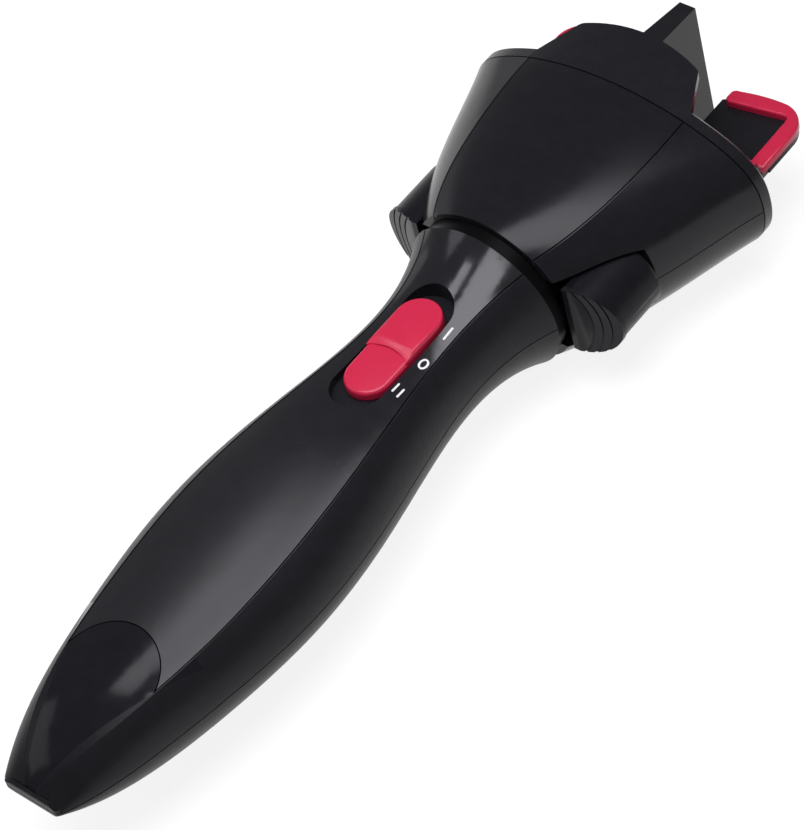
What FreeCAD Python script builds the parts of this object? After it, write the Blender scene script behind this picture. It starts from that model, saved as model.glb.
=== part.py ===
import FreeCAD, Part
import math
import os
from collections import namedtuple

# Battery hair braider: a tapered handle with a sliding switch, and a flared turning head whose two
# hooks twist a strand each.  All sizes are millimetres.  While it is modelled, the long axis is the
# Y axis: Y = 0 is the tail, +Y runs to the hooks, +Z is the switch side and +X is to the right.
# Z = 0 is the plane in which every housing is split.

Vector = FreeCAD.Vector
Section = namedtuple("Section", "at half_width ridge_x ridge_z crown depth fullness",
                     defaults=(0.0, 1.0))

# ---------------------------------------------------------------- handle, outside
tail_section = Section(at=0.0, half_width=8.6, ridge_x=1.4, ridge_z=2.4, crown=0.1, depth=2.4)
tip_section = Section(at=10.0, half_width=13.3, ridge_x=7.2, ridge_z=8.0, crown=0.8, depth=9.6)
heel_section = Section(at=34.0, half_width=19.7, ridge_x=14.1, ridge_z=11.6, crown=2.0, depth=16.8)
belly_section = Section(at=68.0, half_width=25.0, ridge_x=17.6, ridge_z=13.1, crown=2.4, depth=18.2)
flank_section = Section(at=106.0, half_width=22.7, ridge_x=15.6, ridge_z=13.7, crown=2.3, depth=17.0)
waist_section = Section(at=145.0, half_width=16.9, ridge_x=10.9, ridge_z=12.5, crown=2.0, depth=15.0)
collar_section = Section(at=171.5, half_width=22.5, ridge_x=15.6, ridge_z=16.2, crown=6.1, depth=22.5)
tail_rounding = 1.2
handle_wall = 2.0
cavity_start = 14.0

# ---------------------------------------------------------------- seams and panels
seam_gap = 0.3
panel_gap = 0.3
panel_thickness = 1.6
panel_floor = 1.3
panel_inset = 0.2
lip_height = 1.6
lip_thickness = 0.9
lip_clearance = 0.1
dome_radius = 13.7
dome_centre = 30.0

# ---------------------------------------------------------------- switch
switch_centre = 138.5
switch_travel = 4.0
button_length = 33.0
button_width = 12.6
button_stand = 2.6
button_step = 0.9
slot_side_gap = 0.7
slider_thickness = 1.0
slider_width = 14.0
slider_length = 21.0
slider_clearance = 0.3
slider_top = 10.75
board_top = 9.5
board_thickness = 0.8
board_length = 30.0
board_width = 18.0
board_post = 1.2

# ---------------------------------------------------------------- battery compartment
cell_radius = 7.1
cell_length = 49.2
nub_radius = 2.6
nub_height = 1.2
cell_spacing = 14.8
cell_height = -4.0
cell_start = 38.5
tray_wall = 1.2
tray_clearance = 0.4
contact_thickness = 0.4
contact_gap = 2.6
door_start = 31.0
door_end = 97.0
door_half_width = 15.5
door_corner = 4.0
door_clearance = 0.3
door_land = 17.4
door_grip_count = 5
door_grip_pitch = 2.4
door_grip_depth = 0.6
door_travel = 30.0

# ---------------------------------------------------------------- motor and reduction gear
motor_radius = 10.05
motor_flat = 7.55
motor_length = 25.0
motor_start = 131.0
motor_boss_radius = 3.0
motor_boss_length = 1.5
motor_shaft_radius = 1.0
rib_thickness = 1.6
rib_clearance = 0.1
gearbox_start = 159.5
gearbox_length = 11.9
gearbox_wall = 1.6
gearbox_plate = 1.4
reduction_module = 0.4
pinion_teeth = 9
idler_teeth = 18
ring_teeth = 45
idler_width = 4.4
idler_count = 3
carrier_thickness = 2.0
carrier_pin_radius = 0.9
backlash = 0.06
running_clearance = 0.05
motor_screw_radius = 1.0
motor_screw_spacing = 16.0

# ---------------------------------------------------------------- neck bearing and drive shaft
neck_band_radius = 21.7
neck_band_end = 175.1
neck_gap = 0.2
spigot_length = 5.5
spigot_wall = 1.6
spigot_radius = 16.8
spigot_flat = 11.6
neck_tube_radius = 8.0
neck_tube_end = 192.0
shaft_radius = 3.0
shaft_front = 226.5
bush_radius = 5.0
bush_length = 6.0
clutch_outer = 11.2
hub_wall = 2.2
clutch_start = 179.0
clutch_length = 9.0
shaft_clutch_outer = 5.5
shaft_clutch_start = 194.5
shaft_clutch_length = 6.0

# ---------------------------------------------------------------- head, outside
nape_section = Section(at=175.4, half_width=23.5, ridge_x=15.8, ridge_z=17.4, crown=5.9, fullness=1.0)
flare_section = Section(at=184.0, half_width=28.6, ridge_x=19.3, ridge_z=18.8, crown=5.0, fullness=1.05)
cheek_section = Section(at=198.0, half_width=35.0, ridge_x=22.4, ridge_z=20.0, crown=4.4, fullness=1.1)
brow_section = Section(at=212.0, half_width=39.7, ridge_x=23.9, ridge_z=21.0, crown=4.1, fullness=1.16)
rim_section = Section(at=227.0, half_width=44.8, ridge_x=24.3, ridge_z=21.7, crown=3.8, fullness=1.22)
head_wall = 2.0
nape_wall = 2.2

# ---------------------------------------------------------------- front cap with tongues and fin
cap_gap = 0.4
cap_thickness = 3.8
cap_spigot = 4.5
cap_spigot_wall = 1.6
cap_edge = 0.8
tongue_reach = 245.0
tongue_corner = 242.0
tongue_corner_x = 18.2
tongue_corner_radius = 2.4
tongue_thickness = 2.0
fin_reach = 262.0
fin_root_half_thickness = 4.0
fin_tip_half_thickness = 2.4
fin_root_height = 24.0
fin_tip_height = 20.2

# ---------------------------------------------------------------- hooks
sun_teeth = 30
hook_gear_teeth = 20
hook_module = 1.0
hook_gear_width = 6.0
hook_gear_start = 207.0
spindle_radius = 3.0
spindle_start = 201.5
rod_radius = 0.9
rotor_radius = 12.4
well_clearance = 0.4
well_floor = 2.2
rotor_disc_thickness = 3.6
plate_half_width = 11.9
plate_end = 258.6
plate_top = -0.5
plate_thickness = 2.4
plate_corner = 4.5
band_width = 4.1
band_thickness = 3.0
band_gap = 0.2
band_margin = 0.5
band_tip_gap = 0.3
jaw_axis_offset = 4.4
jaw_axis_height = 2.2
jaw_barrel_radius = 1.5
jaw_pin_radius = 0.8
jaw_heel_width = 2.4
jaw_heel_half_thickness = 1.4
jaw_heel_low = -1.2
rod_end_gap = 0.15
jaw_opening = 22.0
ear_thickness = 1.2

# ---------------------------------------------------------------- side levers
lever_axis_x = 29.0
lever_axis_y = 198.6
lever_pin_radius = 1.2
lever_lug_radius = 2.2
lever_lug_low = -4.6
lever_lug_high = 2.4
lever_centre_x = 25.0
lever_half_width = 11.3
lever_half_height = 10.7
lever_inner_x = 22.6
lever_front = 195.3
lever_gap = 1.2
lever_wall = 1.8
pad_centre_y = 177.4
pad_slope = 0.30
pad_floor_y = 176.0
pad_thickness = 2.6
pad_groove_count = 3
pad_groove_pitch = 2.1
pad_groove_width = 0.7
pad_groove_depth = 0.5
lever_post_start = 4.9
lever_pin_end = 7.6
spring_wire_radius = 0.3
spring_leg_radius = 0.27
spring_leg_bend = 0.2
spring_coil_radius = 1.75
spring_turn_pitch = 0.55
spring_turns = 3
spring_start = 2.8
spring_leg_tip = 26.0
finger_thickness = 1.6
finger_height = 1.6
lever_travel = 8.0
rod_start = 199.7
rod_flange_radius = 1.7
rod_flange_thickness = 0.8

# ---------------------------------------------------------------- fasteners
screw_head_radius = 2.2
screw_head_height = 1.6
screw_shank_radius = 1.0
screw_clearance = 0.2
boss_radius = 3.2
tail_screw_y = 23.0
flank_screw_x = 13.5
flank_screw_y = 107.0
head_screw_x = 9.5
head_screw_y = 219.5
post_x = 16.5
post_z = 13.5
post_radius = 2.3
gear_plate_start = 201.8
gear_plate_thickness = 2.0

# ---------------------------------------------------------------- worked out from the sizes above
hook_x = hook_module * (sun_teeth + hook_gear_teeth) / 2.0
idler_orbit = reduction_module * (pinion_teeth + idler_teeth) / 2.0
gearbox_radius = reduction_module * ring_teeth / 2.0 + 1.25 * reduction_module + gearbox_wall
slot_length = button_length + 2.0 * switch_travel
slot_width = button_width + 2.0 * slot_side_gap
cap_start = rim_section.at + cap_gap
cap_front = cap_start + cap_thickness
rotor_back = cap_front - rotor_disc_thickness
jaw_axis_y = cap_front + jaw_axis_offset
plate_inner_x = hook_x - plate_half_width
plate_outer_x = hook_x + plate_half_width
band_outer_x = plate_outer_x - band_margin
band_end = plate_end - band_margin
overall_length = fin_reach
half_thickness = rim_section.ridge_z + rim_section.crown

HANDLE_SECTIONS = [tail_section, tip_section, heel_section, belly_section, flank_section,
                   waist_section, collar_section]
HEAD_SECTIONS = [nape_section, flare_section, cheek_section, brow_section, rim_section]


# ================================================================ basic shapes

def box(low, high):
    """A box between two opposite corners."""
    size = [b - a for a, b in zip(low, high)]
    return Part.makeBox(size[0], size[1], size[2], Vector(*low))


def rod_along_y(radius, start, end, x=0.0, z=0.0):
    return Part.makeCylinder(radius, end - start, Vector(x, start, z), Vector(0, 1, 0))


def rod_along_z(radius, start, end, x, y):
    return Part.makeCylinder(radius, end - start, Vector(x, y, start), Vector(0, 0, 1))


def rod_along_x(radius, start, end, y, z):
    return Part.makeCylinder(radius, end - start, Vector(start, y, z), Vector(1, 0, 0))


def tube_along_y(outer, inner, start, end, x=0.0, z=0.0):
    bore = rod_along_y(inner, start - 1.0, end + 1.0, x, z)
    return rod_along_y(outer, start, end, x, z).cut(bore)


def slab_along_y(start, end):
    """All the space between two stations of the long axis."""
    reach = 100.0
    return box((-reach, start, -reach), (reach, end, reach))


def above_seam(height=0.0):
    reach = 400.0
    return box((-reach, -reach, height), (reach, reach, reach))


def below_seam(height=0.0):
    reach = 400.0
    return box((-reach, -reach, -reach), (reach, reach, height))


def stadium(length, width, centre_y, low, high):
    """An upright slot shape with round ends, long in Y."""
    radius = width / 2.0
    straight = length / 2.0 - radius
    body = box((-radius, centre_y - straight, low), (radius, centre_y + straight, high))
    for end in (-straight, straight):
        body = body.fuse(rod_along_z(radius, low, high, 0.0, centre_y + end))
    return body.removeSplitter()


def rounded_prism(half_width, start, end, corner, low, high):
    """An upright block, round at its four corners."""
    block = box((-half_width, start, low), (half_width, end, high))
    upright = [e for e in block.Edges if abs(e.tangentAt(e.FirstParameter).z) > 0.9]
    return block.makeFillet(corner, upright)


def mirrored(shape):
    """The same piece on the other side of the long axis."""
    return shape.mirror(Vector(0, 0, 0), Vector(1, 0, 0))


def joined(shapes):
    whole = shapes[0]
    for shape in shapes[1:]:
        whole = whole.fuse(shape)
    return whole.removeSplitter()


# ================================================================ housings: sections and lofts

def bezier(*points):
    curve = Part.BezierCurve()
    curve.setPoles(list(points))
    return curve.toShape()


def side_arc(section, inset, top_z):
    """From the seam up to height top_z: part of an ellipse through the ridge, drawn in by inset."""
    share = section.ridge_x / section.half_width
    half_height = section.ridge_z / math.sqrt(1.0 - share * share)
    across = section.half_width - inset
    up = half_height - inset
    angle = math.asin(min(top_z / up, 0.999))
    handle = 4.0 / 3.0 * math.tan(angle / 4.0) * section.fullness
    y = section.at
    start = Vector(across, y, 0)
    end = Vector(across * math.cos(angle), y, up * math.sin(angle))
    first = Vector(across, y, up * handle)
    second = end + Vector(across * math.sin(angle) * handle, 0, -up * math.cos(angle) * handle)
    return [start, first, second, end]


def turned_over(points, flip_x=False, flip_z=False):
    """Mirrors a run of points, and reverses it so that the outline goes on the same way round."""
    moved = [Vector(-p.x if flip_x else p.x, p.y, -p.z if flip_z else p.z) for p in points]
    return list(reversed(moved))


def crown_points(section):
    """The gently domed top between the two ridges."""
    lift = section.ridge_z + section.crown * 4.0 / 3.0
    x = section.ridge_x
    y = section.at
    return [Vector(x, y, section.ridge_z), Vector(x / 3.0, y, lift), Vector(-x / 3.0, y, lift),
            Vector(-x, y, section.ridge_z)]


def quarter_points(across, depth, y):
    """A quarter ellipse from the left seam down to the keel."""
    handle = 4.0 / 3.0 * math.tan(math.pi / 8.0)
    return [Vector(-across, y, 0), Vector(-across, y, -depth * handle),
            Vector(-across * handle, y, -depth), Vector(0, y, -depth)]


def handle_outline(section):
    right = side_arc(section, 0.0, section.ridge_z)
    lower_left = quarter_points(section.half_width, section.depth, section.at)
    runs = [right, crown_points(section), turned_over(right, flip_x=True), lower_left,
            turned_over(lower_left, flip_x=True)]
    return Part.Wire([bezier(*run) for run in runs])


def handle_cavity_outline(section, inset):
    top_z = section.ridge_z - panel_thickness - panel_floor - (inset - handle_wall)
    right = side_arc(section, inset, top_z)
    top = [right[-1], Vector(-right[-1].x, section.at, right[-1].z)]
    lower_left = quarter_points(section.half_width - inset, section.depth - inset, section.at)
    runs = [right, top, turned_over(right, flip_x=True), lower_left,
            turned_over(lower_left, flip_x=True)]
    return Part.Wire([bezier(*run) for run in runs])


def head_outline(section):
    right = side_arc(section, 0.0, section.ridge_z)
    top = crown_points(section)
    runs = [right, top, turned_over(right, flip_x=True),
            turned_over(turned_over(right, flip_x=True), flip_x=False, flip_z=True),
            turned_over(top, flip_z=True), turned_over(right, flip_z=True)]
    return Part.Wire([bezier(*run) for run in runs])


def head_cavity_outline(section, inset):
    top_z = section.ridge_z - panel_thickness - panel_floor - (inset - head_wall)
    right = side_arc(section, inset, top_z)
    top = [right[-1], Vector(-right[-1].x, section.at, right[-1].z)]
    runs = [right, top, turned_over(right, flip_x=True),
            turned_over(turned_over(right, flip_x=True), flip_x=False, flip_z=True),
            turned_over(top, flip_z=True), turned_over(right, flip_z=True)]
    return Part.Wire([bezier(*run) for run in runs])


def between_sections(sections, share_at):
    """The section that straight lines between the key sections give at one station."""
    for near, far in zip(sections, sections[1:]):
        if near.at <= share_at <= far.at:
            share = (share_at - near.at) / (far.at - near.at)
            values = [a + (b - a) * share for a, b in zip(near, far)]
            return Section(*values)
    return sections[-1]


def handle_outside():
    """The whole outer form of the handle, with its tail rounded in plan and from the side."""
    form = Part.makeLoft([handle_outline(s) for s in HANDLE_SECTIONS], True, False, False, 5)
    reach = 60.0
    plan = box((-tail_section.half_width, 0, -reach), (tail_section.half_width, 20, reach))
    upright = [e for e in plan.Edges if e.Length > reach and e.BoundBox.YMax < 0.01]
    plan = plan.makeFillet(tail_rounding, upright)
    side = box((-reach, 0, -tail_section.depth), (reach, 20, tail_section.ridge_z))
    level = [e for e in side.Edges if e.Length > reach and e.BoundBox.YMax < 0.01]
    side = side.makeFillet(tail_rounding, level)
    rest = slab_along_y(tail_rounding, 400.0)
    return form.common(plan.fuse(rest)).common(side.fuse(rest))


def handle_cavity(inset):
    """The hollow of the handle: the outer form drawn in by the wall, flat under the top panel."""
    start = between_sections(HANDLE_SECTIONS, cavity_start)
    inner = [start] + [s for s in HANDLE_SECTIONS if s.at > cavity_start]
    outlines = [handle_cavity_outline(s, inset) for s in inner]
    end = handle_cavity_outline(collar_section._replace(at=collar_section.at + 1.0), inset)
    return Part.makeLoft(outlines + [end], True, True)


def head_outside():
    return Part.makeLoft([head_outline(s) for s in HEAD_SECTIONS], True, False, False, 4)


def head_cavity(inset):
    start = between_sections(HEAD_SECTIONS, nape_section.at + nape_wall)
    inner = [start] + [s for s in HEAD_SECTIONS if s.at > start.at]
    outlines = [head_cavity_outline(s, inset) for s in inner]
    end = head_cavity_outline(rim_section._replace(at=rim_section.at + 1.0), inset)
    return Part.makeLoft(outlines + [end], True, True)


def panel_space(sections, gap, thickness):
    """The space that a top panel fills: between the ridges, from its flat underside upwards."""
    outlines = []
    for section in sections:
        x = section.ridge_x - panel_inset - gap
        low = section.ridge_z - thickness
        high = section.ridge_z + section.crown + 6.0
        y = section.at
        corners = [Vector(x, y, low), Vector(x, y, high), Vector(-x, y, high), Vector(-x, y, low)]
        outlines.append(Part.makePolygon(corners + corners[:1]))
    return Part.makeLoft(outlines, True, False, False, 5)


# ================================================================ gears

def involute_angle(radius, base_radius):
    """How far an involute has turned from its root by the time it reaches a radius."""
    if radius <= base_radius:
        return 0.0
    pressure = math.acos(base_radius / radius)
    return math.tan(pressure) - pressure


def gear_outline(teeth, module, root, tip, thickness_change, phase, start):
    """A closed outline of involute teeth in the plane Y = start, with one tooth at angle phase."""
    pitch_radius = module * teeth / 2.0
    base_radius = pitch_radius * math.cos(math.radians(20.0))
    half_tooth = math.pi / (2.0 * teeth) + involute_angle(pitch_radius, base_radius)
    half_tooth += thickness_change / (2.0 * pitch_radius)
    middle = (root + tip) / 2.0
    points = []
    for tooth in range(teeth):
        centre = phase + 2.0 * math.pi * tooth / teeth
        flank = [(r, half_tooth - involute_angle(r, base_radius)) for r in (root, middle, tip)]
        polar = [(r, centre - a) for r, a in flank] + [(r, centre + a) for r, a in reversed(flank)]
        points += [Vector(r * math.cos(a), start, r * math.sin(a)) for r, a in polar]
    return Part.Face(Part.makePolygon(points + points[:1]))


def external_gear(teeth, module, start, end, bore, phase=0.0, x=0.0, z=0.0):
    pitch_radius = module * teeth / 2.0
    root = pitch_radius - 1.25 * module
    tip = pitch_radius + 0.95 * module
    face = gear_outline(teeth, module, root, tip, -backlash, phase, start)
    gear = face.extrude(Vector(0, end - start, 0))
    gear.translate(Vector(x, 0, z))
    return gear.cut(rod_along_y(bore, start - 1.0, end + 1.0, x, z))


def ring_space(teeth, module, start, end, phase):
    """The space inside a ring gear: its tooth gaps are an external gear's teeth."""
    pitch_radius = module * teeth / 2.0
    root = pitch_radius - 0.8 * module
    tip = pitch_radius + 1.25 * module
    face = gear_outline(teeth, module, root, tip, backlash, phase, start)
    return face.extrude(Vector(0, end - start, 0))


# ================================================================ handle pieces

def screw_along_z(x, y, head_low, length):
    """A pan-head screw that goes in upwards."""
    head_top = head_low + screw_head_height
    head = rod_along_z(screw_head_radius, head_low, head_top, x, y)
    return head.fuse(rod_along_z(screw_shank_radius, head_top, head_low + length, x, y))


def handle_screw_places():
    """Where the screws join the two handle shells, with the height of each screw's seat."""
    tail_seat = -6.0
    flank_seat = -7.0
    return [(0.0, tail_screw_y, tail_seat), (flank_screw_x, flank_screw_y, flank_seat),
            (-flank_screw_x, flank_screw_y, flank_seat)]


def cell_places():
    return [(-cell_spacing / 2.0, 1), (cell_spacing / 2.0, -1)]


def motor_body():
    """The round can with its two flats, and the bearing bosses at its ends."""
    can = rod_along_y(motor_radius, motor_start, motor_start + motor_length)
    flats = box((-motor_radius, motor_start - 1, -motor_flat),
                (motor_radius, motor_start + motor_length + 1, motor_flat))
    boss = rod_along_y(motor_boss_radius, motor_start - motor_boss_length,
                       motor_start + motor_length + motor_boss_length)
    bore = rod_along_y(motor_shaft_radius + running_clearance, motor_start - 5,
                       motor_start + motor_length + 5)
    return can.common(flats).fuse(boss).cut(bore)


def shell_ribs(cavity):
    """Cross ribs that cradle the motor and the gearbox, as whole rings before the shells split."""
    motor_end = motor_start + motor_length
    gearbox_end = gearbox_start + gearbox_length
    ribs = []
    for y in (motor_start + 1.5, motor_end - 1.5 - rib_thickness):
        rib = cavity.common(slab_along_y(y, y + rib_thickness))
        opening = rod_along_y(motor_radius + rib_clearance, y - 1, y + rib_thickness + 1)
        flats = box((-motor_radius - 1, y - 1, -motor_flat - rib_clearance),
                    (motor_radius + 1, y + rib_thickness + 1, motor_flat + rib_clearance))
        ribs.append(rib.cut(opening.common(flats)))
    for y in (gearbox_start + 0.3, gearbox_start + 3.6):
        rib = cavity.common(slab_along_y(y, y + rib_thickness))
        opening = rod_along_y(gearbox_radius + rib_clearance, y - 1, y + rib_thickness + 1)
        ribs.append(rib.cut(opening))
    return joined(ribs)


def switch_space():
    """Room under the top panel for the slider's travel, and below it for the switch board."""
    half = slider_width / 2.0 + slider_clearance
    travel = slider_length / 2.0 + switch_travel + slider_clearance
    opening = box((-half, switch_centre - travel, board_top), (half, switch_centre + travel, 40.0))
    half = board_width / 2.0 + slider_clearance
    reach = board_length / 2.0 + slider_clearance
    bay = box((-half, switch_centre - reach, board_top - board_thickness - slider_clearance),
              (half, switch_centre + reach, board_top))
    return opening.fuse(bay)


def board_posts():
    """Four short posts from the shell's floor down to the corners of the switch board."""
    posts = []
    for side in (-1, 1):
        for end in (-1, 1):
            x = side * (board_width - board_post) / 2.0
            y = switch_centre + end * (board_length - board_post) / 2.0
            low = (x - board_post / 2.0, y - board_post / 2.0, board_top)
            posts.append(box(low, (x + board_post / 2.0, y + board_post / 2.0, 30.0)))
    return posts


def build_handle(pieces):
    outside = handle_outside()
    cavity = handle_cavity(handle_wall)
    wall = outside.cut(cavity)
    recess = panel_space(HANDLE_SECTIONS, 0.0, panel_thickness)
    dome = rod_along_z(dome_radius, 0.0, 60.0, 0.0, dome_centre)
    dome = dome.fuse(box((-40, -5, 0), (40, dome_centre, 60)))
    recess = recess.cut(dome)
    slot = stadium(slot_length, slot_width, switch_centre, board_top, 40.0)
    ribs = shell_ribs(cavity)

    upper = wall.common(above_seam(seam_gap / 2.0)).cut(recess)
    upper = upper.fuse(ribs.common(above_seam(seam_gap / 2.0)).cut(recess))
    lower = wall.common(below_seam(-seam_gap / 2.0)).fuse(ribs.common(below_seam(-seam_gap / 2.0)))

    for x, y, seat in handle_screw_places():
        post = rod_along_z(boss_radius, seam_gap / 2.0, 30.0, x, y)
        post = post.common(outside).cut(recess)
        pilot = rod_along_z(screw_shank_radius, -1.0, 7.0, x, y)
        upper = upper.fuse(post).cut(pilot)
        post = rod_along_z(boss_radius + 0.4, -40.0, -seam_gap / 2.0, x, y).common(outside)
        well = rod_along_z(screw_head_radius + screw_clearance, -40.0, seat, x, y)
        way = rod_along_z(screw_shank_radius + screw_clearance, -40.0, 1.0, x, y)
        lower = lower.fuse(post).cut(well).cut(way)

    lip = handle_cavity(handle_wall + lip_clearance).cut(
        handle_cavity(handle_wall + lip_clearance + lip_thickness))
    lip = lip.common(slab_along_y(cavity_start + 2.0, motor_start))
    lip = lip.common(above_seam(-lip_height)).common(below_seam(lip_height))
    anchor = handle_cavity(handle_wall).cut(handle_cavity(handle_wall + lip_clearance + lip_thickness))
    anchor = anchor.common(slab_along_y(cavity_start + 2.0, motor_start))
    anchor = anchor.common(above_seam(-lip_height)).common(below_seam(-lip_height / 2.0))
    lower = lower.fuse(lip.fuse(anchor))
    for x, y, seat in handle_screw_places():
        lower = lower.cut(rod_along_z(boss_radius + 0.3, -seam_gap / 2.0, 20.0, x, y))

    door_space = rounded_prism(door_half_width, door_start, door_end, door_corner, -40.0, -4.0)
    door_form = rounded_prism(door_half_width - door_clearance, door_start + door_clearance,
                              door_end - door_clearance, door_corner, -40.0, -4.0)
    door = wall.common(door_form).common(above_seam(-door_land))
    for count in range(door_grip_count):
        y = door_start + 6.0 + count * door_grip_pitch
        groove = rod_along_x(door_grip_depth, -6.5, 6.5, y, -door_land)
        door = door.cut(groove)
    lower = lower.cut(door_space)

    panel = panel_space(HANDLE_SECTIONS, panel_gap, panel_thickness)
    panel_dome = rod_along_z(dome_radius + panel_gap, 0.0, 60.0, 0.0, dome_centre)
    panel_dome = panel_dome.fuse(box((-40, -5, 0), (40, dome_centre, 60)))
    panel = outside.common(panel).cut(panel_dome).cut(slot)
    upper = upper.cut(switch_space()).fuse([p.common(outside).cut(recess) for p in board_posts()])
    upper = upper.cut(slot)

    pieces["handle_upper_shell"] = upper
    pieces["handle_lower_shell"] = lower
    pieces["handle_top_panel"] = panel
    pieces["battery_door"] = door
    screws = [screw_along_z(x, y, seat - screw_head_height, 12.0)
              for x, y, seat in handle_screw_places()]
    pieces["handle_screws"] = Part.Compound(screws)


def build_switch(pieces):
    """The button stands in the slot; the slider under the panel carries it over the board."""
    waist = between_sections(HANDLE_SECTIONS, switch_centre)
    top = waist.ridge_z + waist.crown + button_stand
    slider_low = slider_top - slider_thickness
    button = stadium(button_length, button_width, switch_centre, slider_top, top)
    crest = [e for e in button.Edges if e.BoundBox.ZMin > top - 0.01]
    button = button.makeFillet(1.2, crest)
    grip_radius = 30.0
    grip_y = switch_centre - 1.0
    scoop = rod_along_x(grip_radius, -20.0, 20.0, grip_y - 8.5, top + grip_radius - button_step)
    scoop = scoop.common(box((-20, grip_y - 17.0, 0), (20, grip_y, 60)))
    button = button.cut(scoop)
    slider = box((-slider_width / 2.0, switch_centre - slider_length / 2.0, slider_low),
                 (slider_width / 2.0, switch_centre + slider_length / 2.0, slider_top))
    board = box((-board_width / 2.0, switch_centre - board_length / 2.0, board_top - board_thickness),
                (board_width / 2.0, switch_centre + board_length / 2.0, board_top))
    pieces["switch_button"] = button
    pieces["switch_slider"] = slider
    pieces["switch_board"] = board


def build_batteries(pieces):
    for name, (x, way) in zip(("battery_left", "battery_right"), cell_places()):
        can = rod_along_y(cell_radius, cell_start, cell_start + cell_length, x, cell_height)
        if way > 0:
            nub = rod_along_y(nub_radius, cell_start + cell_length,
                              cell_start + cell_length + nub_height, x, cell_height)
        else:
            nub = rod_along_y(nub_radius, cell_start - nub_height, cell_start, x, cell_height)
        pieces[name] = can.fuse(nub)

    half = cell_spacing / 2.0 + cell_radius + tray_clearance
    top = cell_height + cell_radius + tray_clearance
    start = cell_start - nub_height - contact_gap
    end = cell_start + cell_length + nub_height + contact_gap
    low = cell_height - 1.5
    tray = box((-half - tray_wall, start - tray_wall, low),
               (half + tray_wall, end + tray_wall, top + tray_wall))
    tray = tray.cut(box((-half, start, low - 1), (half, end, top)))
    divider = box((-0.15, start + contact_gap, cell_height + 4.5), (0.15, end - contact_gap, top))
    pieces["battery_tray"] = tray.fuse(divider)

    def leaf(x_low, x_high, wall_y, towards):
        """A flat contact on the tray's end wall with a raised spring bridge towards the cells."""
        near = wall_y + towards * 0.02
        far = near + towards * contact_thickness
        low_y, high_y = min(near, far), max(near, far)
        plate = box((x_low, low_y, low + 0.5), (x_high, high_y, top - 0.6))
        bridges = []
        centres = [x for x, _ in cell_places() if x_low < x < x_high]
        for x in centres:
            tip = near + towards * (contact_gap - 0.3)
            heights = [cell_height - 3.0, cell_height - 1.2, cell_height + 1.2, cell_height + 3.0]
            depths = [far, tip, tip, far]
            outer = [Vector(x - 2.0, y, z) for y, z in zip(depths, heights)]
            inner = [Vector(x - 2.0, y - towards * contact_thickness, z)
                     for y, z in zip(depths, heights)]
            outline = outer + list(reversed(inner))
            bridges.append(Part.Face(Part.makePolygon(outline + outline[:1])).extrude(Vector(4, 0, 0)))
        return joined([plate] + bridges)

    pieces["tail_contact"] = leaf(-half + 0.5, half - 0.5, start, 1.0)
    pieces["positive_contact"] = leaf(-half + 0.5, -1.0, end, -1.0)
    pieces["negative_contact"] = leaf(1.0, half - 0.5, end, -1.0)


def build_drive(pieces):
    motor_end = motor_start + motor_length
    gearbox_end = gearbox_start + gearbox_length
    idler_start = gearbox_start + gearbox_plate + 0.4
    idler_end = idler_start + idler_width
    carrier_start = idler_end + 0.3
    carrier_end = carrier_start + carrier_thickness
    pieces["motor"] = motor_body()
    pieces["motor_shaft"] = rod_along_y(motor_shaft_radius, motor_start - 3.0, idler_end - 0.4)
    pinion = external_gear(pinion_teeth, reduction_module, idler_start - 0.2, idler_end - 0.4,
                           motor_shaft_radius)
    pieces["motor_pinion"] = pinion

    plate_bore = motor_boss_radius + 0.1
    bracket_end = gearbox_start + gearbox_plate
    saddle = rod_along_y(motor_radius, motor_end, gearbox_start).common(
        box((-motor_radius, motor_end, -motor_flat), (motor_radius, gearbox_start, motor_flat)))
    bracket = saddle.fuse(rod_along_y(gearbox_radius, gearbox_start, bracket_end))
    bracket = bracket.cut(rod_along_y(plate_bore, motor_end - 1, bracket_end + 1))
    screws = []
    for side in (-1, 1):
        x = side * motor_screw_spacing / 2.0
        bracket = bracket.cut(rod_along_y(motor_screw_radius + 0.1, motor_end - 1, bracket_end + 1, x))
        screws.append(rod_along_y(motor_screw_radius, motor_end, bracket_end, x))
    ring = rod_along_y(gearbox_radius, bracket_end, gearbox_end)
    ring_phase = math.pi / ring_teeth
    ring = ring.cut(ring_space(ring_teeth, reduction_module, gearbox_start, gearbox_end + 1, ring_phase))
    cover_start = carrier_end + 0.4
    ring = ring.cut(rod_along_y(gearbox_radius - gearbox_wall + 0.4, cover_start, gearbox_end + 1))
    cover = rod_along_y(gearbox_radius - gearbox_wall + 0.35, cover_start + 0.02, gearbox_end)
    cover = cover.cut(rod_along_y(shaft_radius + running_clearance, cover_start - 1, gearbox_end + 3))
    pieces["gearbox_bracket"] = bracket
    pieces["motor_screws"] = Part.Compound(screws)
    pieces["ring_gear"] = ring
    pieces["gearbox_cover"] = cover

    carrier = rod_along_y(idler_orbit + 2.0, carrier_start, carrier_end)
    for count in range(idler_count):
        angle = 2.0 * math.pi * count / idler_count
        x = idler_orbit * math.cos(angle)
        z = idler_orbit * math.sin(angle)
        phase = angle + math.pi + math.pi / idler_teeth
        pieces["planet_gear_%d" % (count + 1)] = external_gear(
            idler_teeth, reduction_module, idler_start, idler_end,
            carrier_pin_radius + running_clearance, phase, x, z)
        carrier = carrier.fuse(rod_along_y(carrier_pin_radius, idler_start, carrier_end, x, z))
    pieces["planet_carrier"] = carrier.removeSplitter()
    pieces["drive_shaft"] = rod_along_y(shaft_radius, carrier_end, shaft_front)
    sun_end = hook_gear_start + hook_gear_width
    pieces["sun_gear"] = external_gear(sun_teeth, hook_module, hook_gear_start, sun_end, shaft_radius)


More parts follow.
